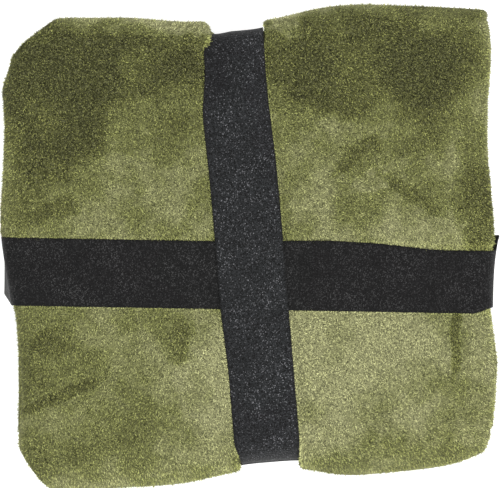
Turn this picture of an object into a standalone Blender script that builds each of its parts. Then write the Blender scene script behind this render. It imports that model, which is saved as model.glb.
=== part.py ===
"""A folded camp blanket held by two crossed ribbon bands. Metres, +Z up, origin under the middle of the bundle.

The blanket is one sheet of brushed fleece. It is folded in half and in half again across its width. The four-ply
strip that this makes is folded in half and in thirds along its length. The inner band runs round the bundle
along X, and the outer band runs over it along Y. Each band is one ribbon whose ends overlap and are sewn.
"""

from math import cos, pi, radians, sin

import bpy

# The flat sheet, and how thick its plies lie under the bands.
SHEET_WIDTH = 1.47
SHEET_LENGTH = 2.04
PLY = 0.0030
PLY_PITCH = 0.0038
STRIP = 4 * PLY_PITCH
STACK = 6 * STRIP
HALF_SLACK = (PLY_PITCH - PLY) / 2
TOP = STACK - 2 * HALF_SLACK

# The folded bundle: its half sizes, and the rounding of its corners and shoulders as shares of them.
HALF_X = 0.1856
HALF_Y = 0.1760
CORNER_PULL = {(-1, 1): 0.095, (1, 1): 0.020, (-1, -1): 0.036, (1, -1): 0.060}
CORNER_POWER = 6
SHOULDER = 0.033
NARROWING = 0.005
WIDENING = 0.0036
EDGE_WAVE = 0.0008

# The hollow underneath that the bands lie in, and how far the outer band pulls in the folded edges.
RECESS = 0.0026
RECESS_REACH = 0.128
RECESS_END = 0.134
PINCH_FAR = 0.0170
PINCH_NEAR = 0.0145
PINCH_START = 0.120
PINCH_HALF_WIDTH = 0.036
PINCH_END = 0.066

# Where the folded grid has its lines.
LINES_X = (-0.140, -PINCH_END, -PINCH_HALF_WIDTH, PINCH_HALF_WIDTH, PINCH_END, 0.140)
LINES_Y = (-RECESS_END, -RECESS_REACH, RECESS_REACH, RECESS_END)
STEPS_ACROSS = 4
STEPS_ALONG = 6

# The ribbon bands. A band's half length and levels are those of the middle of its ribbon.
RIBBON_WIDTH = 0.0508
RIBBON = 0.0008
GAP = 0.0003
OVERLAP = 0.022
OVERLAP_RISE = 0.006
BAND_STEP = RIBBON + GAP
CORNER_STEPS = 6
OUTER_X = -0.002
OUTER_Y = -0.0018
OUTER_TILT = radians(1.5)
OUTER_HALF = 0.1627
OUTER_LEVELS = (GAP + RIBBON / 2, TOP + GAP + 1.5 * RIBBON + GAP)
OUTER_RADII = (0.010, 0.026, 0.014, 0.024)
INNER_X = -0.0008
INNER_Y = -0.023
INNER_TILT = radians(-4.2)
INNER_HALF = 0.1880
INNER_LEVELS = (OUTER_LEVELS[0] + BAND_STEP, OUTER_LEVELS[1] - BAND_STEP)
INNER_RADII = (0.012, 0.012, 0.012, 0.012)

# The seam thread and the label.
THREAD = 0.0005
ZIGZAG = 0.0030
STITCH = 0.0020
SEAM_MARGIN = 0.002
LABEL = 0.0003
LABEL_X = 0.110
LABEL_WIDTH = 0.028
LABEL_TUCK = 0.010
LABEL_STAND_OFF = 0.0016
LABEL_DROP = 0.011

OLIVE = (0.135, 0.142, 0.055, 1)
BLACK = (0.022, 0.022, 0.024, 1)
THREAD_BLACK = (0.030, 0.030, 0.032, 1)
WHITE = (0.62, 0.62, 0.60, 1)


def clear_scene():
    for obj in list(bpy.data.objects):
        bpy.data.objects.remove(obj, do_unlink=True)


def new_collection(name):
    collection = bpy.data.collections.new(name)
    bpy.context.scene.collection.children.link(collection)
    return collection


def material(name, colour, roughness):
    made = bpy.data.materials.new(name)
    made.use_nodes = True
    shader = made.node_tree.nodes["Principled BSDF"]
    shader.inputs["Base Color"].default_value = colour
    shader.inputs["Roughness"].default_value = roughness
    shader.inputs["Metallic"].default_value = 0
    return made


def ease(value, start, end):
    """0 up to start, 1 from end on, and a smooth rise between."""
    share = min(max((value - start) / (end - start), 0), 1)
    return share * share * (3 - 2 * share)


def fold_path(levels, turns, lines, steps):
    """Points and left-hand normals along level runs that half-circle bends join.

    Run i lies at levels[i] and goes from turns[i] to turns[i + 1], where it bends into the next run."""
    path = []
    for i, level in enumerate(levels):
        start, end = turns[i], turns[i + 1]
        heading = 1 if end > start else -1
        low, high = sorted((start, end))
        between = [line for line in lines if low < line < high]
        for place in [start] + sorted(between, reverse=heading < 0) + [end]:
            path.append((place, level, 0, heading))
        if i + 1 == len(levels):
            break
        radius = (levels[i + 1] - level) / 2
        side = 1 if radius > 0 else -1
        for step in range(1, steps):
            angle = pi * step / steps
            out = heading * abs(radius) * sin(angle)
            path.append((end + out, level + radius * (1 - cos(angle)), -side * sin(angle), heading * cos(angle)))
    return path


def with_free_ends(total, levels, turns):
    """The turns with a free end before and after them, so that the whole path is total long."""
    runs = sum(abs(b - a) for a, b in zip(turns, turns[1:]))
    bends = sum(pi * abs(b - a) / 2 for a, b in zip(levels, levels[1:]))
    heading = 1 if turns[0] > 0 else -1
    end = turns[0] - heading * (total - runs - bends) / 2
    return [end] + turns + [end]


def width_path():
    """The two folds across the width: the folded edges at -X, the hems inside one bend at +X."""
    levels = [1.5 * PLY_PITCH, -1.5 * PLY_PITCH, -0.5 * PLY_PITCH, 0.5 * PLY_PITCH]
    closed, opened = 2 * PLY_PITCH - HALF_X, HALF_X - PLY_PITCH
    turns = with_free_ends(SHEET_WIDTH, levels, [closed, opened, closed])
    return fold_path(levels, turns, LINES_X, STEPS_ACROSS)


def length_path():
    """The strip folded in half and in thirds: a nose on top at +Y, the loose ends at the bottom at -Y."""
    levels = [share * STRIP for share in (0.5, 3.5, 4.5, 5.5, 2.5, 1.5)]
    big, nose = HALF_Y - 2 * STRIP, HALF_Y - STRIP
    turns = with_free_ends(SHEET_LENGTH, levels, [big, -big, nose, -big, big])
    return fold_path(levels, turns, LINES_Y, STEPS_ALONG)


def shaped(x, y, z, share):
    """A point of the plain folded block, moved to where the bands, the corners and the soft plies put it.

    share is how far along the sheet the point is, from 0 to 1."""
    under_band = 1 - ease(abs(x - OUTER_X), PINCH_HALF_WIDTH, PINCH_END)
    side_x = 1 if x > 0 else -1
    side_y = 1 if y > 0 else -1
    corner = 1 - CORNER_PULL[side_x, side_y] * (abs(x) / HALF_X * min(abs(y) / HALF_Y, 1)) ** CORNER_POWER
    shoulder = 1 - SHOULDER * (2 * z / STACK - 1) ** 4
    right = 0
    if x > 0:
        right = WIDENING * ease(y, RECESS_END, HALF_Y) - NARROWING * (1 - ease(y, -0.075, -0.005))
    wave = EDGE_WAVE * sin(4.6 * pi * share)
    moved_x = (x * shoulder + (right + wave) * x / HALF_X) * corner
    pinch = PINCH_FAR if y > 0 else PINCH_NEAR
    pull = pinch * under_band * max(0, (abs(y) - PINCH_START) / (HALF_Y - PINCH_START))
    moved_y = (y - pull * side_y) * corner
    floor = RECESS * max(1 - ease(abs(y), RECESS_REACH, RECESS_END), under_band)
    return moved_x, moved_y, floor + (TOP - floor) * (z - HALF_SLACK) / TOP


def surface(name, rows, collection, look, thickness):
    """An open sheet through rows of points, made solid on both sides of them."""
    columns = len(rows[0])
    points = [point for row in rows for point in row]
    faces = []
    for i in range(len(rows) - 1):
        for j in range(columns - 1):
            first = i * columns + j
            faces.append((first, first + 1, first + columns + 1, first + columns))
    mesh = bpy.data.meshes.new(name)
    mesh.from_pydata(points, [], faces)
    mesh.shade_smooth()
    mesh.materials.append(look)
    obj = bpy.data.objects.new(name, mesh)
    collection.objects.link(obj)
    solid = obj.modifiers.new("Solidify", "SOLIDIFY")
    solid.thickness = thickness
    solid.offset = 0
    return obj


def add_blanket(collection, look):
    across, along = width_path(), length_path()
    rows = []
    for i, (y, z, normal_y, normal_z) in enumerate(along):
        share = i / (len(along) - 1)
        rows.append([shaped(x, y + h * normal_y, z + h * normal_z, share) for x, h, _, _ in across])
    return surface("folded_blanket", rows, collection, look, PLY)


def loop_path(half, levels, radii, seam_side):
    """Points and outward normals of a ribbon's loop, from its seam round to its seam again and on over it.

    The loop is a rectangle with rounded corners in (distance, height). It starts half way up the wall on
    seam_side (1 or -1) and goes down. radii are the corners' at (-, low), (-, high), (+, high), (+, low)."""
    low, high = levels
    middle = (low + high) / 2
    corners = [(-1, low, 1), (-1, high, -1), (1, high, -1), (1, low, 1)]
    order = (3, 0, 1, 2) if seam_side > 0 else (0, 3, 2, 1)
    start = middle - OVERLAP / 2
    path = [((seam_side * half, start), (seam_side, 0))]
    turn = seam_side
    angle = 0 if seam_side > 0 else pi
    for index in order:
        side, level, up = corners[index]
        radius = radii[index]
        centre = (side * (half - radius), level + up * radius)
        for step in range(CORNER_STEPS + 1):
            now = angle - turn * (pi / 2) * step / CORNER_STEPS
            normal = (cos(now), sin(now))
            path.append(((centre[0] + radius * normal[0], centre[1] + radius * normal[1]), normal))
        angle -= turn * pi / 2
    for height, out in ((start + OVERLAP + 2 * OVERLAP_RISE, 0), (start + OVERLAP + OVERLAP_RISE, BAND_STEP)):
        path.append(((seam_side * (half + out), height), (seam_side, 0)))
    path.append(((seam_side * (half + BAND_STEP), start), (seam_side, 0)))
    return path


def add_band(name, collection, look, half, levels, radii, seam_side, place, heading):
    """A ribbon loop. It runs along the object's own X, and its width is along the object's Y."""
    path = loop_path(half, levels, radii, seam_side)
    edges = (-RIBBON_WIDTH / 2, 0, RIBBON_WIDTH / 2)
    rows = [[(distance, edge, height) for edge in edges] for (distance, height), _ in path]
    if seam_side < 0:
        rows = [row[::-1] for row in rows]
    band = surface(name, rows, collection, look, RIBBON)
    band.location = place
    band.rotation_euler = (0, 0, heading)
    return band


def add_seam_thread(name, collection, look, band, half, levels, seam_side):
    """One thread that zigzags across the ribbon's width, just off the face of its overlapped end."""
    middle = sum(levels) / 2
    out = seam_side * (half + BAND_STEP + RIBBON / 2 + GAP + THREAD / 2)
    reach = RIBBON_WIDTH / 2 - SEAM_MARGIN
    count = int(2 * reach / STITCH)
    curve = bpy.data.curves.new(name, "CURVE")
    curve.dimensions = "3D"
    curve.bevel_depth = THREAD / 2
    curve.bevel_resolution = 1
    curve.use_fill_caps = True
    spline = curve.splines.new("POLY")
    spline.points.add(count)
    for i, point in enumerate(spline.points):
        across = reach * (2 * i / count - 1)
        point.co = (out, across, middle + ZIGZAG / 2 * (-1) ** i, 1)
    curve.materials.append(look)
    thread = bpy.data.objects.new(name, curve)
    collection.objects.link(thread)
    thread.parent = band
    return thread


def add_label(collection, look):
    """A blank label: its tail is tucked between the sheet's loose ends, and it hangs down in front of them."""
    loose = length_path()[0][0]
    front = loose - LABEL_STAND_OFF
    level = STRIP - HALF_SLACK
    profile = [(loose + LABEL_TUCK, level), (loose, level)]
    for step in range(1, CORNER_STEPS + 1):
        angle = (pi / 2) * step / CORNER_STEPS
        y = front + LABEL_STAND_OFF * (1 - sin(angle))
        profile.append((y, level - LABEL_STAND_OFF * (1 - cos(angle))))
    profile.append((front, level - LABEL_DROP))
    sides = (LABEL_X - LABEL_WIDTH / 2, LABEL_X, LABEL_X + LABEL_WIDTH / 2)
    rows = [[(x, y, z) for x in sides] for y, z in profile]
    return surface("care_label", rows, collection, look, LABEL)


def main():
    clear_scene()
    parts = new_collection("Camp blanket")
    fleece = material("Olive fleece", OLIVE, 0.95)
    ribbon = material("Black ribbon", BLACK, 0.85)
    thread = material("Black thread", THREAD_BLACK, 0.7)
    satin = material("Label satin", WHITE, 0.5)
    add_blanket(parts, fleece)
    outer = add_band("vertical_band", parts, ribbon, OUTER_HALF, OUTER_LEVELS, OUTER_RADII, -1,
                     (OUTER_X, OUTER_Y, 0), pi / 2 + OUTER_TILT)
    inner = add_band("horizontal_band", parts, ribbon, INNER_HALF, INNER_LEVELS, INNER_RADII, 1,
                     (INNER_X, INNER_Y, 0), INNER_TILT)
    add_seam_thread("vertical_band_stitching", parts, thread, outer, OUTER_HALF, OUTER_LEVELS, -1)
    add_seam_thread("horizontal_band_stitching", parts, thread, inner, INNER_HALF, INNER_LEVELS, 1)
    add_label(parts, satin)
    bpy.context.view_layer.update()


main()
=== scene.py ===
"""The looks of a folded plush camp blanket in two ribbon bands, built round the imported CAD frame.

Everything is in metres in the CAD's frame: +Z up, +X along the inner band, +Y towards the folded nose.
"""

from math import cos, exp, hypot, pi, radians, sin
from random import Random

import bpy
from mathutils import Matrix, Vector, noise
from mathutils.bvhtree import BVHTree


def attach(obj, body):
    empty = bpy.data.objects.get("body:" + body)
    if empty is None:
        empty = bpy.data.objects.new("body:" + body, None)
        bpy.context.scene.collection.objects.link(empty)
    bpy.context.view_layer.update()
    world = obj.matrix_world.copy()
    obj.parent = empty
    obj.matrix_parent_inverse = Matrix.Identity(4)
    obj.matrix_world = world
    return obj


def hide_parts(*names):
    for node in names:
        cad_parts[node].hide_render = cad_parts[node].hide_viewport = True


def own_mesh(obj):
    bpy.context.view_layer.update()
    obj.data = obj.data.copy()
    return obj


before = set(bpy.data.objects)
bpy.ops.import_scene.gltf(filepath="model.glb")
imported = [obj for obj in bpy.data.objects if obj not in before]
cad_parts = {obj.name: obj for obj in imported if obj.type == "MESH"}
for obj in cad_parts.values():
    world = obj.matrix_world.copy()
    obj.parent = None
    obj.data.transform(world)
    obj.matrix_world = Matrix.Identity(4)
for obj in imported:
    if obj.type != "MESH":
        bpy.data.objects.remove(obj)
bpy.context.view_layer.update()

# The sheet and its folds, as in the CAD. The half sizes are 1 mm larger, for the pile.
SHEET_WIDTH = 1.47
SHEET_LENGTH = 2.04
PLY = 0.0036
PLY_PITCH = 0.0038
STRIP = 4 * PLY_PITCH
STACK = 6 * STRIP
HALF_SLACK = (PLY_PITCH - PLY) / 2
TOP = 0.0904
HALF_X = 0.1865
HALF_Y = 0.1769
COARSE_LINES = (-0.16, -0.13, -0.10, -0.07, -0.05, -0.038, -0.028, -0.015, 0.0,
                0.015, 0.028, 0.038, 0.05, 0.07, 0.10, 0.13, 0.16)
FINE_STEP = 0.003
BESIDE_OUTER = ((-0.037, -0.014), (0.014, 0.033))
BESIDE_INNER = ((-0.064, 0.018),)
BEND_STEPS = 8
OUTER_BEND_STEPS = 14

# The bands, as in the CAD, except that the inner band's end at +X lies 7 mm further in, where the soft ribbon
# draws the fleece together.
RIBBON_WIDTH = 0.0508
RIBBON = 0.0008
GAP = 0.0003
OVERLAP = 0.022
OVERLAP_RISE = 0.006
BAND_STEP = RIBBON + GAP
OUTER_X = -0.002
OUTER_Y = -0.0018
OUTER_TILT = radians(1.5)
OUTER_HALF = 0.1627
OUTER_LEVELS = (GAP + RIBBON / 2, TOP + GAP + 1.5 * RIBBON + GAP)
OUTER_RADII = (0.010, 0.026, 0.014, 0.024)
INNER_X = -0.0048
INNER_Y = -0.023
INNER_TILT = radians(-4.2)
INNER_HALF = 0.1846
INNER_LEVELS = (OUTER_LEVELS[0] + BAND_STEP, OUTER_LEVELS[1] - BAND_STEP)
INNER_RADII = (0.010, 0.006, 0.010, 0.010)
THREAD = 0.0005
ZIGZAG = 0.0034
STITCH = 0.0021

# The hollow that the lower runs of the bands leave, and how the bands press into the fleece elsewhere.
RECESS = 0.0026
RECESS_REACH = 0.128
RECESS_END = 0.134
PINCH_START = 0.110
PILE_CLEAR = 0.0004
INSET = 0.0088
LEAN = 0.003

# How deep the outer band pulls in the folded edge beside it, the share of that dip that is soft, how wide
# the soft part is, and how wide the steep part is.
DIPS = {(-1, 1): (0.0180, 0.36, 0.045, 0.0048), (1, 1): (0.0170, 0.52, 0.036, 0.0022),
        (-1, -1): (0.0140, 0.50, 0.032, 0.0036), (1, -1): (0.0135, 0.50, 0.024, 0.0030)}

# How much each corner is rounded off, as a share of its distance.
CORNERS = {(-1, 1): 0.020, (1, 1): 0.016, (-1, -1): 0.018, (1, -1): 0.070}
CORNER_POWER = 5.4

# The left corners are cut off by folded-in cloth: the way each cut faces, how far out it lies, and the share
# that is left of what passes it.
CUTS = {(-1, 1): (radians(129), 0.2247), (-1, -1): (radians(211), 0.2304)}
CUT_SHARE = 0.15


def ease(value, start, end):
    """0 up to start, 1 from end on, and a smooth rise between."""
    share = min(max((value - start) / (end - start), 0), 1)
    return share * share * (3 - 2 * share)


def bump(value, centre, width):
    """1 at the centre, falling smoothly to nearly 0 about two widths away."""
    return exp(-((value - centre) / width) ** 2)


def ripple(x, y, z, size, seed=0):
    """Smooth noise from -1 to 1 whose lumps are about size across."""
    return noise.noise(Vector((x / size + seed, y / size - seed, z / size)))


# --- the folded sheet -------------------------------------------------------------------------------------

def fold_path(levels, turns, lines, steps):
    """Points and left-hand normals along level runs that half-circle bends join, and each point's run.

    Run i lies at levels[i] and goes from turns[i] to turns[i + 1]. lines[i] are its places in between."""
    path = []
    for i, level in enumerate(levels):
        start, end = turns[i], turns[i + 1]
        heading = 1 if end > start else -1
        low, high = sorted((start, end))
        between = [line for line in lines[i] if low + 0.001 < line < high - 0.001]
        for place in [start] + sorted(between, reverse=heading < 0) + [end]:
            path.append((place, level, 0, heading))
        if i + 1 == len(levels):
            break
        radius = (levels[i + 1] - level) / 2
        side = 1 if radius > 0 else -1
        for step in range(1, steps[i]):
            angle = pi * step / steps[i]
            out = heading * abs(radius) * sin(angle)
            up = radius * (1 - cos(angle))
            path.append((end + out, level + up, -side * sin(angle), heading * cos(angle)))
    return path


def with_free_ends(total, levels, turns):
    """The turns with a free end before and after them, so that the whole path is total long."""
    runs = sum(abs(b - a) for a, b in zip(turns, turns[1:]))
    bends = sum(pi * abs(b - a) / 2 for a, b in zip(levels, levels[1:]))
    heading = 1 if turns[0] > 0 else -1
    end = turns[0] - heading * (total - runs - bends) / 2
    return [end] + turns + [end]


def fine_lines(reach, closer, step):
    """Evenly spaced lines, with more of them, step apart, in the closer spans."""
    count = int(2 * reach / FINE_STEP)
    lines = [reach * (2 * i / count - 1) for i in range(count + 1)]
    for low, high in closer:
        lines = [line for line in lines if not low - step / 2 < line < high + step / 2]
        extra = round((high - low) / step)
        lines += [low + (high - low) * i / extra for i in range(extra + 1)]
    return sorted(lines)


def width_path():
    """The two folds across the width. The second of the four runs is the outermost ply, top and bottom."""
    levels = [1.5 * PLY_PITCH, -1.5 * PLY_PITCH, -0.5 * PLY_PITCH, 0.5 * PLY_PITCH]
    closed, opened = 2 * PLY_PITCH - HALF_X, HALF_X - PLY_PITCH
    turns = with_free_ends(SHEET_WIDTH, levels, [closed, opened, closed])
    lines = [COARSE_LINES, fine_lines(HALF_X, BESIDE_OUTER, 0.0013), COARSE_LINES, COARSE_LINES]
    return fold_path(levels, turns, lines, [OUTER_BEND_STEPS, BEND_STEPS, BEND_STEPS])


def length_path():
    """The strip folded in half and in thirds. The fourth of its six runs is the one on top."""
    levels = [share * STRIP for share in (0.5, 3.5, 4.5, 5.5, 2.5, 1.5)]
    big, nose = HALF_Y - 2 * STRIP, HALF_Y - STRIP
    turns = with_free_ends(SHEET_LENGTH, levels, [big, -big, nose, -big, big])
    lines = [COARSE_LINES] * 3 + [fine_lines(HALF_Y, BESIDE_INNER, 0.0016)] + [COARSE_LINES] * 2
    steps = [OUTER_BEND_STEPS, BEND_STEPS, OUTER_BEND_STEPS, OUTER_BEND_STEPS, BEND_STEPS]
    return fold_path(levels, turns, lines, steps)


def outside_loop(y, z):
    """How far (y, z) is outside the outer band's loop, less than 0 inside it."""
    low, high = OUTER_LEVELS
    y -= OUTER_Y
    if y < 0:
        radius = OUTER_RADII[1] if z > TOP / 2 else OUTER_RADII[0]
    else:
        radius = OUTER_RADII[2] if z > TOP / 2 else OUTER_RADII[3]
    across = abs(y) - (OUTER_HALF - radius)
    up = abs(z - (low + high) / 2) - ((high - low) / 2 - radius)
    return hypot(max(across, 0), max(up, 0)) + min(max(across, up), 0) - radius


def drift(y):
    """How far the outer band strays to -X from its straight line."""
    return 0.0014 * bump(y, 0.105, 0.045)


def outer_line(y):
    """Where the middle of the outer band lies along X."""
    return OUTER_X - (y - OUTER_Y) * OUTER_TILT - drift(y)


def narrowed(side, y, z):
    """The half width that the outer band shows on one side (-1 or 1 along X), where the fleece crowds it."""
    if side < 0:
        far = 0.15 * ease(y, 0.095, 0.135) + 0.16 * ease(y, 0.147, 0.159) + 0.12 * ease(y, 0.152, 0.160)
        near = 0.08 * ease(-y, 0.04, 0.10) + 0.16 * ease(-y, 0.145, 0.165)
    else:
        far, near = 0.06 * ease(y, 0.060, 0.140), 0.03 * ease(-y, 0.145, 0.165)
    return RIBBON_WIDTH / 2 * (1 - (far + near) * ease(z, 0.02, 0.07))


def wall_inside(half, levels, radius_low, radius_high, z):
    """How far out the inside face of a band's wall is at height z, inside its rounded corners."""
    low, high = levels
    out = half - RIBBON / 2 - GAP - PILE_CLEAR
    over = max(z - (high - radius_high), 0)
    under = max((low + radius_low) - z, 0)
    for radius, beyond in ((radius_high, over), (radius_low, under)):
        if beyond > 0:
            out -= radius - (max(radius ** 2 - min(beyond, radius) ** 2, 0)) ** 0.5
    return out


def askew(distance, height):
    """How far the inner band's walls lie off its own line, and how much of its corner is drawn in."""
    low = 1 - ease(height, 0.058, 0.089)
    end = ease(abs(distance), INNER_HALF - 0.034, INNER_HALF - 0.008)
    return 0.0085 * low * end, (1 - low) * end


def held_in(x, y, z, beside):
    """The point (x, y, z) of the fleece, pressed in behind the walls of both bands."""
    near_radii = OUTER_RADII[0:2] if y < 0 else OUTER_RADII[3:1:-1]
    limit = wall_inside(OUTER_HALF, OUTER_LEVELS, *near_radii, z) + max(0, beside - 0.0004) * 4
    y = OUTER_Y + max(-limit, min(y - OUTER_Y, limit))
    turn_cos, turn_sin = cos(INNER_TILT), sin(INNER_TILT)
    along = (x - INNER_X) * turn_cos + (y - INNER_Y) * turn_sin
    across = (y - INNER_Y) * turn_cos - (x - INNER_X) * turn_sin
    skew, drawn = askew(along, z)
    q = 2 * (across - skew) / RIBBON_WIDTH
    near_radii = INNER_RADII[0:2] if along < 0 else INNER_RADII[3:1:-1]
    limit = wall_inside(INNER_HALF, INNER_LEVELS, *near_radii, z)
    if along < 0:
        limit -= INSET * ((1 - max(-1, min(q, 1))) / 2) ** 1.1 * drawn
    limit += max(0, abs(q) - 1) * RIBBON_WIDTH * 1.2
    kept = max(-limit, min(along, limit))
    return x + (kept - along) * turn_cos, y + (kept - along) * turn_sin, z


def wall_shift(x, y):
    """How far a side wall stands out of the plain block, as the bands and the soft plies leave it."""
    if x < 0:
        return (0.0030 * bump(y, 0.022, 0.030) - 0.0050 * (1 - ease(y, -0.050, -0.004))
                - 0.0036 * bump(y, 0.102, 0.036) - 0.0085 * ease(y, 0.122, 0.152)
                + 0.0056 * bump(y, -0.143, 0.026))
    return (0.0045 * ease(y, 0.10, 0.15) - 0.0022 * bump(y, 0.022, 0.030) - 0.0034 * bump(y, 0.066, 0.032)
            - 0.0040 * bump(y, -0.030, 0.028) - 0.0070 * ease(-y, 0.035, 0.060)
            + 0.0015 * bump(y, -0.112, 0.022))


def shaped(x, y, z, share):
    """A point of the plain folded block, moved to where the bands, the corners and the soft plies put it.

    share is how far along the sheet the point is, from 0 to 1."""
    side_x = 1 if x > 0 else -1
    side_y = 1 if y > 0 else -1
    height = 2 * z / STACK - 1
    square = (abs(x) / HALF_X * min(abs(y) / HALF_Y, 1)) ** CORNER_POWER
    corner = 1 - CORNERS[side_x, side_y] * square
    shoulder = 1 - 0.026 * height ** 4
    wave = 0.0010 * sin(4.6 * pi * share) + 0.0014 * ripple(share * 14, y, 0, 0.06, 3)
    wave *= 1 - 0.8 * bump(y, 0.078, 0.045)
    moved_x = (x * shoulder + (wall_shift(x, y) + wave) * x / HALF_X) * corner

    band_x = outer_line(y)
    side_band = 1 if x > band_x else -1
    beside = max(0, abs(x - band_x) - narrowed(side_band, y, z))
    depth, soft, width, edge = DIPS[side_band, side_y]
    hard_dip = exp(-(max(0, beside - 0.0004) / edge) ** 2)
    dip = (1 - soft) * hard_dip + soft * exp(-(beside / width) ** 2)
    reach = max(0, (abs(y) - PINCH_START) / (HALF_Y - PINCH_START))
    slope = -0.0022
    if y > 0:
        slope = 0.0075 * ease(x, 0.07, 0.19) + 0.0018 * bump(x, -0.050, 0.030)
        slope -= 0.0024 * bump(x, -0.150, 0.032)
    bulge = 0.0013 * ripple(x, share * 14, 0, 0.07, 8)
    moved_y = (y + side_y * reach * (bulge - slope - depth * dip)) * corner

    near_outer = exp(-(beside / 0.006) ** 2)
    near_inner = exp(-(max(0, abs(y - INNER_Y - x * INNER_TILT) - RIBBON_WIDTH / 2) / 0.006) ** 2)
    free = (1 - near_outer) * (1 - near_inner) * ease(height, 0.2, 1)
    puff = (0.0013 + 0.0008 * ripple(x, y, 0, 0.055, 5) + 0.0008 * ease(abs(y), 0.118, 0.150)) * free
    under_band = exp(-(beside / 0.02) ** 2)
    floor = RECESS * max(1 - ease(abs(y), RECESS_REACH, RECESS_END), under_band)
    moved_z = floor + (TOP - floor) * (z - HALF_SLACK) / (STACK - 2 * HALF_SLACK) + puff
    if (side_x, side_y) in CUTS:
        facing, reach_out = CUTS[side_x, side_y]
        passed = max(0, moved_x * cos(facing) + moved_y * sin(facing) - reach_out) * (1 - CUT_SHARE)
        moved_x, moved_y = moved_x - cos(facing) * passed, moved_y - sin(facing) * passed
    outside = outside_loop(moved_y, moved_z)
    lean = LEAN * ease(outside, 0.0004, 0.005) * exp(-(beside / 0.010) ** 2) * ease(abs(y), 0.125, 0.15)
    return held_in(moved_x - lean * side_band, moved_y, moved_z, beside)


def thick_sheet(name, near, far, coordinates=None):
    """A closed mesh between two grids of points, near and far, joined all round their rims."""
    rows, columns = len(near), len(near[0])
    size = rows * columns
    points = [p for row in near for p in row] + [p for row in far for p in row]
    faces = []
    for i in range(rows - 1):
        for j in range(columns - 1):
            a = i * columns + j
            quad = (a, a + 1, a + columns + 1, a + columns)
            faces.append(quad)
            faces.append(tuple(size + corner for corner in reversed(quad)))
    rim = [j for j in range(columns)] + [i * columns + columns - 1 for i in range(1, rows)]
    rim += [(rows - 1) * columns + j for j in range(columns - 2, -1, -1)]
    rim += [i * columns for i in range(rows - 2, 0, -1)]
    for a, b in zip(rim, rim[1:] + rim[:1]):
        faces.append((b, a, size + a, size + b))
    mesh = bpy.data.meshes.new(name)
    mesh.from_pydata(points, [], faces)
    if coordinates:
        layer = mesh.uv_layers.new(name="ribbon")
        flat = [pair for row in coordinates for pair in row] * 2
        for loop in mesh.loops:
            layer.data[loop.index].uv = flat[loop.vertex_index]
    mesh.shade_smooth()
    mesh.validate()
    obj = bpy.data.objects.new(name, mesh)
    bpy.context.scene.collection.objects.link(obj)
    return obj


def nap_height(x, y):
    """How far the pile on top stands above or below its mean, as it was brushed."""
    return 0.00022 * ripple(x, y, 0, 0.012, 1) + 0.00016 * ripple(x, y, 0, 0.006, 2)


def make_blanket():
    """The whole sheet, folded along both paths."""
    across, along = width_path(), length_path()
    near, far = [], []
    for i, (y, z, normal_y, normal_z) in enumerate(along):
        share = i / (len(along) - 1)
        for face, out in ((near, -1), (far, 1)):
            row = []
            for x, h, normal_x, normal_h in across:
                off = out * PLY / 2
                place = x + off * normal_x
                level = h + off * normal_h
                point = shaped(place, y + level * normal_y, z + level * normal_z, share)
                if out < 0 and point[2] > TOP - 0.003:
                    point = (point[0], point[1], point[2] + nap_height(point[0], point[1]))
                row.append(point)
            face.append(row)
    return thick_sheet("plush_blanket", far, near)


# The loose pile: fibres to the square metre on top and on the sides, how long, wide and deeply rooted they
# are, how much free room there has to be in front of one, how wide the fuller rim beside the bands is, whose
# fibres are also given a painted highlight, and how near the ground one may come.
PILE_DENSITY = 800000
SIDE_DENSITY = 450000
PILE_LENGTH = 0.0024
PILE_WIDTH = 0.00076
PILE_ROOT = 0.0003
PILE_ROOM = 0.009
RIM = 0.0035
PILE_FLOOR = 0.0004


def shows(point, normal):
    """Whether a point of the folded sheet can be on the outside of the bundle."""
    if normal.z < -0.6:
        return False
    return point.z > TOP - 0.010 or abs(point.x) > HALF_X - 0.022 or abs(point.y) > HALF_Y - 0.030


def beside_bands(x, y):
    """(how far outside the nearer band's edge a point of the top face is, the way to that band)."""
    off_outer = x - outer_line(y)
    side = 1 if off_outer > 0 else -1
    outer = abs(off_outer) - narrowed(side, y, TOP)
    off_inner = y - INNER_Y - (x - INNER_X) * INNER_TILT
    inner = abs(off_inner) - RIBBON_WIDTH / 2
    if outer < inner:
        return outer, Vector((-side, 0, 0))
    return inner, Vector((0, -1 if off_inner > 0 else 1, 0))


def search_tree(mesh):
    """A tree that finds where a ray meets the mesh."""
    return BVHTree.FromPolygons([v.co for v in mesh.vertices], [tuple(f.vertices) for f in mesh.polygons])


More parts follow.
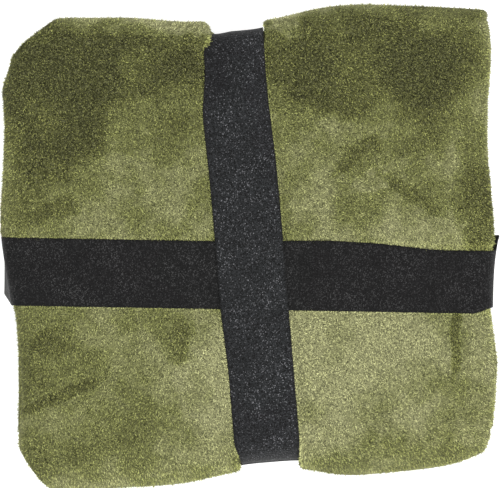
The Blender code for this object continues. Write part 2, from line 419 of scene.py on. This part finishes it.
def make_pile(blanket, cloths):
    """The pile's loose fibres, one narrow triangle each, wherever the fleece's own surface shows."""
    mesh = blanket.data
    tree = search_tree(mesh)
    covers = [search_tree(cloth.data) for cloth in cloths]
    dice = Random(11)
    points, faces, coordinates = [], [], []
    for face in mesh.polygons:
        centre, normal = face.center, face.normal
        if not shows(centre, normal):
            continue
        if tree.ray_cast(centre + normal * 0.0006, normal, PILE_ROOM)[0] is not None:
            continue
        if any(cover.ray_cast(centre, normal, PILE_ROOM)[0] is not None for cover in covers):
            continue
        corners = [mesh.vertices[i].co for i in face.vertices]
        turn = 0.9 + 1.5 * ripple(centre.x, centre.y, centre.z, 0.07, 6)
        nap = Vector((cos(turn), -sin(turn), -0.35))
        rim, density = 0, SIDE_DENSITY
        if normal.z > 0.3:
            density = PILE_DENSITY
            beside, towards = beside_bands(centre.x, centre.y)
            rim = 1 - ease(beside, 0.0005, RIM)
            nap = nap.lerp(towards, 0.8 * rim)
        nap = (nap - normal * nap.dot(normal)).normalized()
        for _ in range(int(face.area * density * (1 + 1.5 * rim) + dice.random())):
            u, v = dice.random(), dice.random()
            root = corners[0].lerp(corners[1], u).lerp(corners[3].lerp(corners[2], u), v)
            stray = Vector((dice.gauss(0, 0.45), dice.gauss(0, 0.45), dice.gauss(0, 0.45)))
            way = (nap * 0.75 + normal * (0.62 + 0.25 * rim) + stray).normalized()
            across = way.cross(normal)
            across = (across if across.length > 0.1 else nap).normalized()
            across *= PILE_WIDTH * dice.uniform(0.5, 1.2) / 2
            tip = root + way * PILE_LENGTH * dice.uniform(0.5, 1.15) * (1 - 0.25 * rim)
            tip.z = max(tip.z, PILE_FLOOR)
            base = root - normal * PILE_ROOT
            base.z = max(base.z, PILE_FLOOR)
            start = len(points)
            points += [base - across, base + across, tip]
            faces.append((start, start + 1, start + 2))
            # Painted highlight: fibres in the rim beside the bands get paler shades.
            shade = dice.random() * (1 - 0.8 * rim) + 0.8 * rim
            coordinates += [(shade, 0.0), (shade, 0.0), (shade, 1.0)]
    pile = bpy.data.meshes.new("plush_pile")
    pile.from_pydata(points, [], faces)
    layer = pile.uv_layers.new(name="fibre")
    for loop in pile.loops:
        layer.data[loop.index].uv = coordinates[loop.vertex_index]
    obj = bpy.data.objects.new("plush_pile", pile)
    bpy.context.scene.collection.objects.link(obj)
    return obj


# --- the ribbon bands -------------------------------------------------------------------------------------

def loop_path(half, levels, radii, seam_side, run_step, corner_steps):
    """Points, outward normals and lengths along a ribbon's loop, from its seam all round and over it."""
    low, high = levels
    middle = (low + high) / 2
    corners = [(-1, low, 1), (-1, high, -1), (1, high, -1), (1, low, 1)]
    order = (3, 0, 1, 2) if seam_side > 0 else (0, 3, 2, 1)
    start = middle - OVERLAP / 2
    knots = [((seam_side * half, start), (seam_side, 0))]
    angle = 0 if seam_side > 0 else pi
    for index in order:
        side, level, up = corners[index]
        radius = radii[index]
        centre = (side * (half - radius), level + up * radius)
        for step in range(corner_steps + 1):
            now = angle - seam_side * (pi / 2) * step / corner_steps
            normal = (cos(now), sin(now))
            knots.append(((centre[0] + radius * normal[0], centre[1] + radius * normal[1]), normal))
        angle -= seam_side * pi / 2
    for height, out in ((start + OVERLAP + 2 * OVERLAP_RISE, 0), (start + OVERLAP + OVERLAP_RISE, BAND_STEP)):
        knots.append(((seam_side * (half + out), height), (seam_side, 0)))
    knots.append(((seam_side * (half + BAND_STEP), start), (seam_side, 0)))
    path, length = [], 0
    for (first, normal_a), (second, normal_b) in zip(knots, knots[1:]):
        run = hypot(second[0] - first[0], second[1] - first[1])
        count = max(1, round(run / run_step))
        for step in range(count):
            t = step / count
            point = [a + (b - a) * t for a, b in zip(first, second)]
            normal = [a + (b - a) * t for a, b in zip(normal_a, normal_b)]
            path.append((point, normal, length + run * t))
        length += run
    path.append((knots[-1][0], knots[-1][1], length))
    return path


def outer_set(distance, height, q):
    """How the outer band's cloth lies at the share q of its half width: shifted along, across, and lifted."""
    side = -1 if q > 0 else 1
    far = ease(distance, 0.115, 0.158)
    near = ease(-distance, 0.125, 0.160)
    high = ease(height, 0.035, 0.075)
    across = q * narrowed(side, distance + OUTER_Y, height) + drift(distance + OUTER_Y) * high
    lift = (0.0010 * far + 0.0006 * near) * high * q ** 4
    lift -= 0.0009 * bump(distance - 0.005 * q, 0.1480, 0.0035) * (0.6 + 0.4 * q)
    return -0.0018 * max(0, q) * far * high, across, lift


def inner_set(distance, height, q):
    """The same for the inner band, whose walls lie askew and stand off the fleece where they step in."""
    skew, drawn = askew(distance, height)
    end = ease(abs(distance), INNER_HALF - 0.034, INNER_HALF - 0.008)
    across = q * RIBBON_WIDTH / 2 + skew
    if distance < 0:
        return INSET * ((1 - q) / 2) ** 1.1 * drawn, across, 0
    across += 0.0045 * ease(distance, INNER_HALF - 0.016, INNER_HALF) * drawn * max(0, -q)
    across += 0.0018 * bump(distance, 0.055, 0.035) * max(0, q) * ease(height, 0.06, 0.088)
    across -= 0.0038 * ease(distance, 0.09, 0.15) * max(0, q) * ease(height, 0.06, 0.088)
    edge = ((1 + q) / 2) ** 3
    return 0, across, 0.0050 * edge * bump(height, 0.062, 0.020) * end


class Band:
    """A ribbon loop: where it lies, and how its cloth is set."""

    CELLS = 16
    RUN_STEP = 0.004
    CORNER_STEPS = 12
    SEWN_SHARE = 0.93

    def __init__(self, half, levels, radii, seam_side, place, heading, setting):
        self.half, self.levels, self.seam_side = half, levels, seam_side
        self.place, self.setting = place, setting
        self.turn = cos(heading), sin(heading)
        self.path = loop_path(half, levels, radii, seam_side, self.RUN_STEP, self.CORNER_STEPS)

    def point(self, distance, height, normal, q, off):
        """The place of a point of the cloth, off its middle layer, at the share q of its half width."""
        along, across, lift = self.setting(distance, height, q)
        d = distance + along + normal[0] * (off + lift)
        z = height + normal[1] * (off + lift)
        return (self.place[0] + d * self.turn[0] - across * self.turn[1],
                self.place[1] + d * self.turn[1] + across * self.turn[0], z)

    def cloth(self, name):
        """The ribbon itself, with the place along and across it as its UV coordinates."""
        cells = self.CELLS
        near, far, coordinates = [], [], []
        for (distance, height), normal, length in self.path:
            rows = ([], [])
            for cell in range(cells + 1):
                q = 2 * cell / cells - 1
                rough = 0.00014 * ripple(length, q * 0.02, 0, 0.018, self.seam_side * 4)
                for row, off in zip(rows, (-RIBBON / 2, RIBBON / 2)):
                    row.append(self.point(distance, height, normal, q, off + rough))
            near.append(rows[0])
            far.append(rows[1])
            coordinates.append([(cell / cells * RIBBON_WIDTH, length) for cell in range(cells + 1)])
        if self.seam_side < 0:
            near, far = far, near
        return thick_sheet(name, near, far, coordinates)

    def stitches(self, name):
        """The zigzag thread that closes the loop, over the end that lies on top."""
        middle = sum(self.levels) / 2
        normal = (self.seam_side, 0)
        out = self.half + BAND_STEP
        count = int(RIBBON_WIDTH * self.SEWN_SHARE / STITCH) * 4
        curve = bpy.data.curves.new(name, "CURVE")
        curve.dimensions = "3D"
        curve.bevel_depth = THREAD / 2
        curve.bevel_resolution = 2
        spline = curve.splines.new("POLY")
        spline.points.add(count)
        for i, point in enumerate(spline.points):
            q = self.SEWN_SHARE * (2 * i / count - 1)
            swing = abs((i / 4) % 2 - 1) * 2 - 1
            sunk = 0.00030 * abs(swing) ** 3
            place = self.point(self.seam_side * out, middle + ZIGZAG / 2 * swing, normal, q,
                               RIBBON / 2 + THREAD / 2 - sunk)
            point.co = (*place, 1)
        mesh = bpy.data.meshes.new_from_object(bpy.data.objects.new(name + "_line", curve))
        thread = bpy.data.objects.new(name, mesh)
        bpy.context.scene.collection.objects.link(thread)
        return thread


# --- materials --------------------------------------------------------------------------------------------

class Shader:
    """A Principled material and short ways to add the nodes that feed it."""

    def __init__(self, name, roughness, **settings):
        self.material = bpy.data.materials.new(name)
        self.material.use_nodes = True
        self.tree = self.material.node_tree
        self.out = self.tree.nodes["Principled BSDF"]
        self.out.inputs["Roughness"].default_value = roughness
        for key, value in settings.items():
            self.out.inputs[key.replace("_", " ")].default_value = value

    def node(self, kind, inputs=(), **settings):
        made = self.tree.nodes.new("ShaderNode" + kind)
        for key, value in settings.items():
            setattr(made, key, value)
        for key, value in dict(inputs).items():
            self.feed(made.inputs[key], value)
        return made

    def feed(self, socket, value):
        if isinstance(value, bpy.types.NodeSocket):
            self.tree.links.new(value, socket)
        else:
            socket.default_value = value

    def place(self):
        return self.node("TexCoord").outputs["Object"]

    def ribbon_place(self):
        return self.node("UVMap", uv_map="ribbon").outputs["UV"]

    def moved(self, vector, location=(0, 0, 0), turn=0, scale=(1, 1, 1)):
        inputs = {"Vector": vector, "Location": location, "Rotation": (0, 0, turn), "Scale": scale}
        return self.node("Mapping", inputs, vector_type="TEXTURE").outputs["Vector"]

    def noise(self, vector, size, detail=2.0, roughness=0.5, distortion=0.0):
        inputs = {"Vector": vector, "Scale": 1 / size, "Detail": detail, "Roughness": roughness,
                  "Distortion": distortion}
        return self.node("TexNoise", inputs).outputs["Fac"]

    def remap(self, value, low, high, to_low=0.0, to_high=1.0, smooth=True):
        inputs = {"Value": value, "From Min": low, "From Max": high, "To Min": to_low, "To Max": to_high}
        kind = "SMOOTHSTEP" if smooth else "LINEAR"
        return self.node("MapRange", inputs, interpolation_type=kind).outputs["Result"]

    def math(self, operation, first, second=0.0):
        return self.node("Math", {0: first, 1: second}, operation=operation).outputs[0]

    def blend(self, share, first, second, kind="MIX"):
        made = self.node("Mix", data_type="RGBA", blend_type=kind)
        for index, value in ((0, share), (6, first), (7, second)):
            self.feed(made.inputs[index], value)
        return made.outputs[2]

    def ramp(self, value, *stops):
        made = self.node("ValToRGB", {"Fac": value})
        elements = made.color_ramp.elements
        while len(elements) < len(stops):
            elements.new(0.5)
        for element, (position, colour) in zip(elements, stops):
            element.position = position
            element.color = colour
        return made.outputs["Color"]

    def finish(self, colour, height, depth):
        self.feed(self.out.inputs["Base Color"], colour)
        bumped = self.node("Bump", {"Height": height, "Distance": depth, "Strength": 1.0})
        self.feed(self.out.inputs["Normal"], bumped.outputs["Normal"])
        return self.material


# Where a hand has brushed the pile on the top face, and two painted highlights where the top curves over the
# far
# edge: centre, half sizes, turn, and how much darker (+) or paler (-) it lies. Metres and degrees.
NAP_MARKS = (
    ("far left field", -0.139, 0.116, 0.050, 0.066, 0, 0.54),
    ("far left band", -0.082, 0.142, 0.080, 0.030, 4, 0.44),
    ("far left by the band", -0.046, 0.114, 0.026, 0.034, 0, 0.20),
    ("left column", -0.170, 0.070, 0.020, 0.055, 0, 0.12),
    ("left spot", -0.143, 0.034, 0.020, 0.011, 30, 0.30),
    ("far right field", 0.084, 0.128, 0.095, 0.040, -4, 0.48),
    ("far right core", 0.138, 0.126, 0.044, 0.030, 10, 0.30),
    ("far right by the band", 0.046, 0.120, 0.030, 0.028, -30, 0.12),
    ("right spot", 0.092, 0.069, 0.013, 0.007, 30, 0.34),
    ("right spot below", 0.074, 0.057, 0.012, 0.007, 30, 0.26),
    ("right upper mottle", 0.130, 0.080, 0.030, 0.020, 20, 0.12),
    ("right middle shade", 0.086, 0.064, 0.052, 0.014, 0, 0.12),
    ("right middle pale", 0.094, 0.040, 0.014, 0.012, 0, -0.20),
    ("right column", 0.170, 0.024, 0.017, 0.060, 0, 0.30),
    ("near left spot", -0.152, -0.066, 0.018, 0.010, 10, 0.22),
    ("near middle spots", -0.060, -0.071, 0.016, 0.012, 60, 0.16),
    ("near middle pale", -0.036, -0.100, 0.024, 0.045, 0, -0.24),
    ("near left half", -0.130, -0.115, 0.066, 0.072, 0, 0.09),
    ("near left pale", -0.092, -0.150, 0.042, 0.026, 0, -0.06),
    ("near right edge", 0.090, -0.166, 0.080, 0.018, 0, 0.16),
    ("near right pale", 0.070, -0.080, 0.075, 0.050, 0, -0.22),
    ("near right half", 0.100, -0.080, 0.150, 0.110, 0, -0.16),
    # Painted highlight where the top curves over the far edge.
    ("far edge painted highlight", -0.052, 0.168, 0.050, 0.012, 3, -0.40),
    ("far left edge", -0.135, 0.160, 0.050, 0.016, 0, 0.18),
    ("far right edge", 0.135, 0.160, 0.055, 0.016, 0, 0.22),
    # Painted highlight where the top curves over the far edge, beside the band.
    ("far edge painted highlight by the band", 0.036, 0.164, 0.016, 0.014, -12, -0.44),
)

# Narrow folds in the nap, given the same way: each is a line of painted shade.
PAINTED_CREASE_SHADES = (
    ("right crease", 0.122, 0.030, 0.030, 0.006, -35, 0.30),
    ("near left crease", -0.150, -0.106, 0.036, 0.005, 20, 0.36),
    ("near right crease", 0.1485, -0.078, 0.0042, 0.032, -7, 0.42),
)


def nap_and_painted_light(shader, place):
    """How dark the brushed pile lies, with the painted highlights at the far edge and the painted shade in the
    creases, from all the marks together, with ragged edges.
    """
    ragged = shader.node("TexNoise", {"Vector": place, "Scale": 45.0, "Detail": 4.0, "Roughness": 0.65})
    middle = (0.5, 0.5, 0.5)
    centred = shader.node("VectorMath", {0: ragged.outputs["Color"], 1: middle}, operation="SUBTRACT")
    total = 0.0
    for marks, ragged_by in ((NAP_MARKS, 0.045), (PAINTED_CREASE_SHADES, 0.012)):
        shift = shader.node("VectorMath", {0: centred.outputs[0], "Scale": ragged_by}, operation="SCALE")
        warped = shader.node("VectorMath", {0: place, 1: shift.outputs[0]}, operation="ADD").outputs[0]
        for _, x, y, half_x, half_y, turn, depth in marks:
            local = shader.moved(warped, (x, y, 0), radians(turn), (half_x, half_y, 1.0))
            reach = shader.node("VectorMath", {0: local, 1: (1, 1, 0)}, operation="MULTIPLY").outputs[0]
            far = shader.node("VectorMath", {0: reach}, operation="LENGTH").outputs["Value"]
            total = shader.math("ADD", total, shader.remap(far, 0.60, 1.14, depth, 0.0))
    return total


# The pale olive that the pile's fibre tips are drawn towards, a painted highlight; the cloth's grain takes it
# in scattered cells.
PALE_TIP = (0.205, 0.210, 0.105, 1)


def plush_tone(shader, place):
    """(how dark, colour) of the fleece before its grain: olive, deeper where it was brushed away and in the
    painted crease shade, paler under the painted highlights at the far edge.
    """
    patches = shader.noise(place, 0.040, 4.0, 0.6)
    mottle = shader.remap(patches, 0.34, 0.68, -0.16, 0.20)
    dark = shader.math("ADD", shader.math("ADD", nap_and_painted_light(shader, place), mottle), 0.30)
    return dark, shader.ramp(dark, (0.0, (0.275, 0.276, 0.138, 1)), (0.35, (0.150, 0.158, 0.055, 1)),
                             (0.65, (0.092, 0.096, 0.030, 1)), (1.0, (0.056, 0.058, 0.019, 1)))


def plush_material():
    """Short dense pile: tufts of many shades with dark gaps between them and pale tips."""
    shader = Shader("olive_plush", 0.95, Sheen_Weight=0.20, Sheen_Roughness=0.4,
                    Sheen_Tint=(0.80, 0.79, 0.45, 1), Specular_IOR_Level=0.1)
    place = shader.place()
    waves = shader.node("TexNoise", {"Vector": place, "Scale": 300.0}).outputs["Color"]
    bent = shader.blend(0.0012, place, waves)
    streaks = shader.moved(bent, (0, 0, 0), radians(-45), (1.0, 1.5, 1.0))
    cells = shader.node("TexVoronoi", {"Vector": streaks, "Scale": 1 / 0.00052}, feature="F1").outputs
    shades = shader.node("SeparateXYZ", {"Vector": cells["Color"]}).outputs
    clumps = shader.noise(place, 0.0045, 3.0, 0.65, 0.4)
    grain = shader.remap(shades["X"], 0.0, 1.0, 0.12, 1.05, smooth=False)
    dark, tone = plush_tone(shader, place)
    grain = shader.math("POWER", grain, shader.remap(dark, 0.1, 0.9, 0.9, 1.3))
    contrast = shader.math("MULTIPLY", grain, shader.remap(clumps, 0.34, 0.66, 0.88, 1.12, smooth=False))
    colour = shader.blend(1.0, tone, contrast, "MULTIPLY")
    tips = shader.blend(shader.math("MULTIPLY", shader.remap(shades["Y"], 0.75, 1.0), 0.45), colour, PALE_TIP)
    height = shader.math("ADD", shader.math("MULTIPLY", grain, 0.4), clumps)
    return shader.finish(tips, height, 0.0009)


def pile_material():
    """The loose fibres: darker at the root and paler at the tip, a painted shade and a painted highlight, each
    a little different, and paler in the rim beside the bands, a painted highlight.
    """
    shader = Shader("olive_pile", 0.95, Sheen_Weight=0.20, Sheen_Roughness=0.4,
                    Sheen_Tint=(0.80, 0.79, 0.45, 1), Specular_IOR_Level=0.1)
    parts = shader.node("SeparateXYZ", {"Vector": shader.node("UVMap", uv_map="fibre").outputs["UV"]}).outputs
    dark, tone = plush_tone(shader, shader.place())
    shade = shader.remap(parts["X"], 0.0, 1.0, 0.30, 3.10, smooth=False)
    shade = shader.math("POWER", shade, shader.remap(dark, 0.1, 0.9, 0.9, 1.45))
    # Painted shade and highlight along each fibre: darker towards the root, brighter towards the tip.
    bright = shader.math("MULTIPLY", shader.remap(parts["Y"], 0.0, 1.0, 0.70, 1.45), shade)
    colour = shader.blend(1.0, tone, bright, "MULTIPLY")
    # Painted highlight: the fibre tips are drawn towards PALE_TIP.
    tips = shader.blend(shader.remap(parts["Y"], 0.3, 1.0, 0.0, 0.35), colour, PALE_TIP)
    return shader.finish(tips, shader.noise(shader.place(), 0.0006), 0.0001)


# How far in from its edges the ribbon is darker, a painted shadow along each edge, and the middle and half
# sizes of a smooth dark spot on it.
EDGE_SHADE = 0.0020
SMOOTH_SPOT = ((-0.017, 0.137, 0), (0.014, 0.034, 1.0))


def ribbon_material(name, colour, pale, wall_shade, lint):
    """Matte black ribbon: fine ribs across its width, edges darkened by a painted shadow, a haze of fluff and
    many specks of lint.

    wall_shade is how bright its walls are beside its top, a painted shade, and lint the share of it that has
    no specks."""
    shader = Shader(name, 0.85, Sheen_Weight=0.08, Sheen_Roughness=0.4, Specular_IOR_Level=0.2)
    along = shader.ribbon_place()
    place = shader.place()
    ribs = shader.node("TexWave", {"Vector": along, "Scale": 1 / 0.0066, "Distortion": 0.6, "Detail": 1.0,
                                   "Detail Scale": 3.0}, bands_direction="Y").outputs["Fac"]
    warp = shader.node("TexWave", {"Vector": along, "Scale": 1 / 0.0052, "Distortion": 0.4},
                       bands_direction="X").outputs["Fac"]
    cells = shader.node("TexVoronoi", {"Vector": place, "Scale": 1 / 0.00062}, feature="F1").outputs["Color"]
    parts = shader.node("SeparateXYZ", {"Vector": cells}).outputs
    haze = shader.noise(place, 0.030, 4.0, 0.65)
    fluff = shader.math("MULTIPLY", shader.remap(parts["X"], 0.10, 1.0, 0.0, 2.20),
                        shader.remap(haze, 0.30, 0.70, 0.80, 1.20))
    sides = shader.node("SeparateXYZ", {"Vector": along}).outputs["X"]
    off_middle = shader.math("ABSOLUTE", shader.math("SUBTRACT", sides, RIBBON_WIDTH / 2))
    # Painted shadow: darker towards both edges of the ribbon.
    edge = shader.remap(off_middle, RIBBON_WIDTH / 2 - EDGE_SHADE, RIBBON_WIDTH / 2, 1.0, 0.25)
    level = shader.node("SeparateXYZ", {"Vector": place}).outputs["Z"]
    # Painted shade: below its top the ribbon's walls are darkened to wall_shade.
    low = shader.remap(level, 0.070, 0.089, wall_shade, 1.0)
    spot = shader.moved(place, SMOOTH_SPOT[0], 0, SMOOTH_SPOT[1])
    spot = shader.node("VectorMath", {0: spot, 1: (1, 1, 0)}, operation="MULTIPLY").outputs[0]
    away = shader.node("VectorMath", {0: spot}, operation="LENGTH").outputs["Value"]
    edge = shader.math("MULTIPLY", edge, shader.remap(away, 0.5, 1.3, 0.55, 1.0))
    fluff = shader.math("MULTIPLY", shader.math("MULTIPLY", fluff, edge), low)
    base = shader.blend(1.0, colour, fluff, "MULTIPLY")
    where = shader.remap(haze, 0.40, 0.62, 0.45, 1.0)
    specks = shader.math("MULTIPLY", shader.remap(parts["Y"], lint, 1.0), where)
    specks = shader.math("MULTIPLY", specks, edge)
    finished = shader.blend(shader.math("MULTIPLY", specks, 0.78), base, pale)
    weave = shader.math("ADD", shader.math("MULTIPLY", ribs, 0.6), shader.math("MULTIPLY", warp, 0.4))
    height = shader.math("ADD", weave, shader.math("MULTIPLY", parts["X"], 0.6))
    return shader.finish(finished, height, 0.00022)


def thread_material():
    """Twisted black sewing thread."""
    shader = Shader("black_thread", 0.6, Sheen_Weight=0.1)
    place = shader.place()
    twist = shader.node("TexWave", {"Vector": place, "Scale": 1 / 0.002, "Distortion": 1.0},
                        bands_direction="DIAGONAL").outputs["Fac"]
    colour = shader.ramp(twist, (0.0, (0.016, 0.016, 0.018, 1)), (1.0, (0.055, 0.055, 0.060, 1)))
    return shader.finish(colour, twist, 0.0001)


def satin_material():
    """The label's plain white satin."""
    shader = Shader("label_satin", 0.42, Sheen_Weight=0.1)
    place = shader.place()
    weave = shader.node("TexWave", {"Vector": place, "Scale": 1 / 0.0016, "Distortion": 0.5},
                        bands_direction="X").outputs["Fac"]
    soil = shader.noise(place, 0.012, 3.0)
    colour = shader.ramp(soil, (0.3, (0.66, 0.655, 0.63, 1)), (0.7, (0.78, 0.78, 0.76, 1)))
    return shader.finish(colour, weave, 0.00006)


def floor_material():
    """A white floor, lit a little from within so that it stays white beside the object."""
    shader = Shader("pale_floor", 0.9, Emission_Color=(1, 1, 1, 1), Emission_Strength=0.28)
    grain = shader.noise(shader.place(), 0.02, 3.0)
    colour = shader.ramp(grain, (0.3, (0.90, 0.90, 0.90, 1)), (0.7, (0.93, 0.93, 0.93, 1)))
    return shader.finish(colour, grain, 0.00005)


# --- the studio -------------------------------------------------------------------------------------------

CAMERA_ROLL = radians(-3.2)
CAMERA_DISTANCE = 1.6
FRAME_WIDTH = 0.3735
SENSOR = 36.0


def area_light(name, place, size, power, target=(0, 0, 0.05)):
    data = bpy.data.lights.new(name, "AREA")
    data.size = size
    data.energy = power
    light = bpy.data.objects.new(name, data)
    light.location = place
    light.rotation_euler = (Vector(target) - Vector(place)).to_track_quat("-Z", "Y").to_euler()
    bpy.context.scene.collection.objects.link(light)


def make_studio():
    bpy.ops.mesh.primitive_plane_add(size=6, location=(0, 0, 0))
    floor = bpy.context.object
    floor.name = "floor"
    floor.data.materials.append(floor_material())
    world = bpy.data.worlds.new("studio")
    world.use_nodes = True
    world.node_tree.nodes["Background"].inputs["Color"].default_value = (1, 1, 1, 1)
    world.node_tree.nodes["Background"].inputs["Strength"].default_value = 1.2
    bpy.context.scene.world = world
    area_light("key", (0.55, -0.75, 1.5), 0.9, 18)
    area_light("fill", (-0.6, 0.5, 1.7), 1.4, 9)
    bpy.context.scene.view_settings.view_transform = "Standard"


def make_camera():
    """Straight above the bundle, turned a little so that the bundle lies turned the other way in the view."""
    data = bpy.data.cameras.new("camera")
    data.sensor_width = SENSOR
    data.lens = SENSOR * CAMERA_DISTANCE / FRAME_WIDTH
    camera = bpy.data.objects.new("camera", data)
    camera.location = (-0.0015, 0.0005, TOP + CAMERA_DISTANCE)
    camera.rotation_euler = (0, 0, CAMERA_ROLL)
    bpy.context.scene.collection.objects.link(camera)
    bpy.context.scene.camera = camera


# --- the object -------------------------------------------------------------------------------------------

def main():
    make_studio()
    make_camera()
    blanket = make_blanket()
    blanket.data.materials.append(plush_material())
    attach(blanket, "folded_bundle")
    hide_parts("folded_blanket")
    outer = Band(OUTER_HALF, OUTER_LEVELS, OUTER_RADII, -1, (OUTER_X, OUTER_Y), pi / 2 + OUTER_TILT,
                 outer_set)
    inner = Band(INNER_HALF, INNER_LEVELS, INNER_RADII, 1, (INNER_X, INNER_Y), INNER_TILT, inner_set)
    outer_look = ribbon_material("black_ribbon", (0.0078, 0.0084, 0.0090, 1), (0.18, 0.18, 0.19, 1),
                                 wall_shade=0.8, lint=0.90)
    inner_look = ribbon_material("black_ribbon_under", (0.0022, 0.0021, 0.0021, 1), (0.052, 0.052, 0.052, 1),
                                 wall_shade=0.3, lint=0.74)
    thread = thread_material()
    cloths = []
    for band, name, node, look in ((outer, "outer_ribbon", "vertical_band", outer_look),
                                   (inner, "inner_ribbon", "horizontal_band", inner_look)):
        cloth = band.cloth(name)
        cloth.data.materials.append(look)
        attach(cloth, node)
        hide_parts(node)
        seam = band.stitches(name + "_seam")
        seam.data.materials.append(thread)
        cloths.append(cloth)
        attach(seam, node)
        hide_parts(node + "_stitching")
    pile = make_pile(blanket, cloths)
    pile.data.materials.append(pile_material())
    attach(pile, "folded_bundle")
    for strip in (cloths[-1], seam):
        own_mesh(strip)
    for soft in (blanket, pile):
        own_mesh(soft)
    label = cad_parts["care_label"]
    label.data.materials.clear()
    label.data.materials.append(satin_material())


main()
